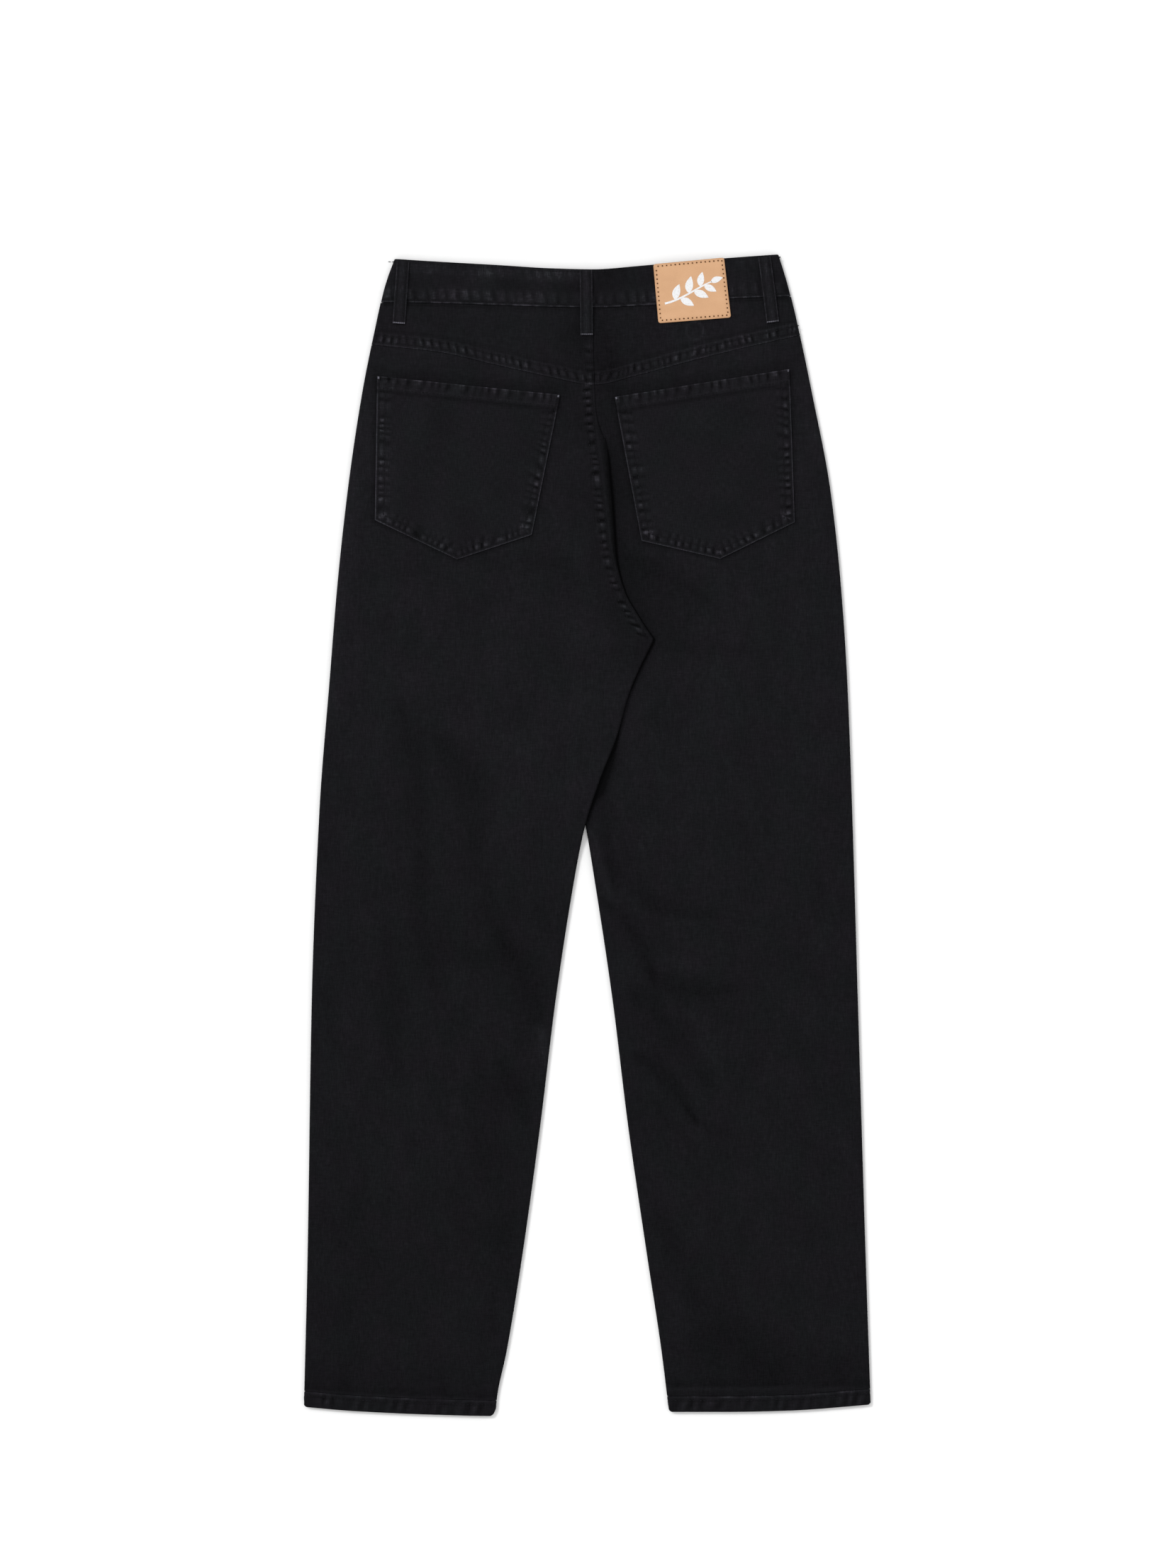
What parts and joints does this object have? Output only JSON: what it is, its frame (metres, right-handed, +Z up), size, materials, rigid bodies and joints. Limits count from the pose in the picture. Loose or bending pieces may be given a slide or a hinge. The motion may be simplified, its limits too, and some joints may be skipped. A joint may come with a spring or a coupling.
{
  "type": "jeans",
  "caption": "Black high-waisted mom jeans laid flat on their front, back facing up, with a seat yoke, pointed back pockets, belt loops and a tan leather patch on the waistband.",
  "frame": {"origin": "the middle of the laid out garment's outline, on the surface that it lies on", "axes": "+Y from the hems up to the waist, +X across the waist towards the wearer's right leg, +Z up from the surface, out of the back of the jeans"},
  "size_m": [0.4876, 0.9988, 0.0094],
  "materials": {
    "black_denim": "matte twill",
    "tan_leather": "smooth, matte",
    "aged_metal": "aged"
  },
  "bodies": {
    "root": {"back_leg_left": "black_denim", "back_leg_right": "black_denim", "front_leg_left": "black_denim", "front_leg_right": "black_denim", "back_yoke_left": "black_denim", "back_yoke_right": "black_denim", "waistband": "black_denim", "hem_left": "black_denim", "hem_right": "black_denim", "back_pocket_left": "black_denim", "back_pocket_right": "black_denim", "loop_back_center": "black_denim", "loop_back_left": "black_denim", "loop_back_right": "black_denim", "patch": "tan_leather", "button": "aged_metal"}
  },
  "joints": []
}
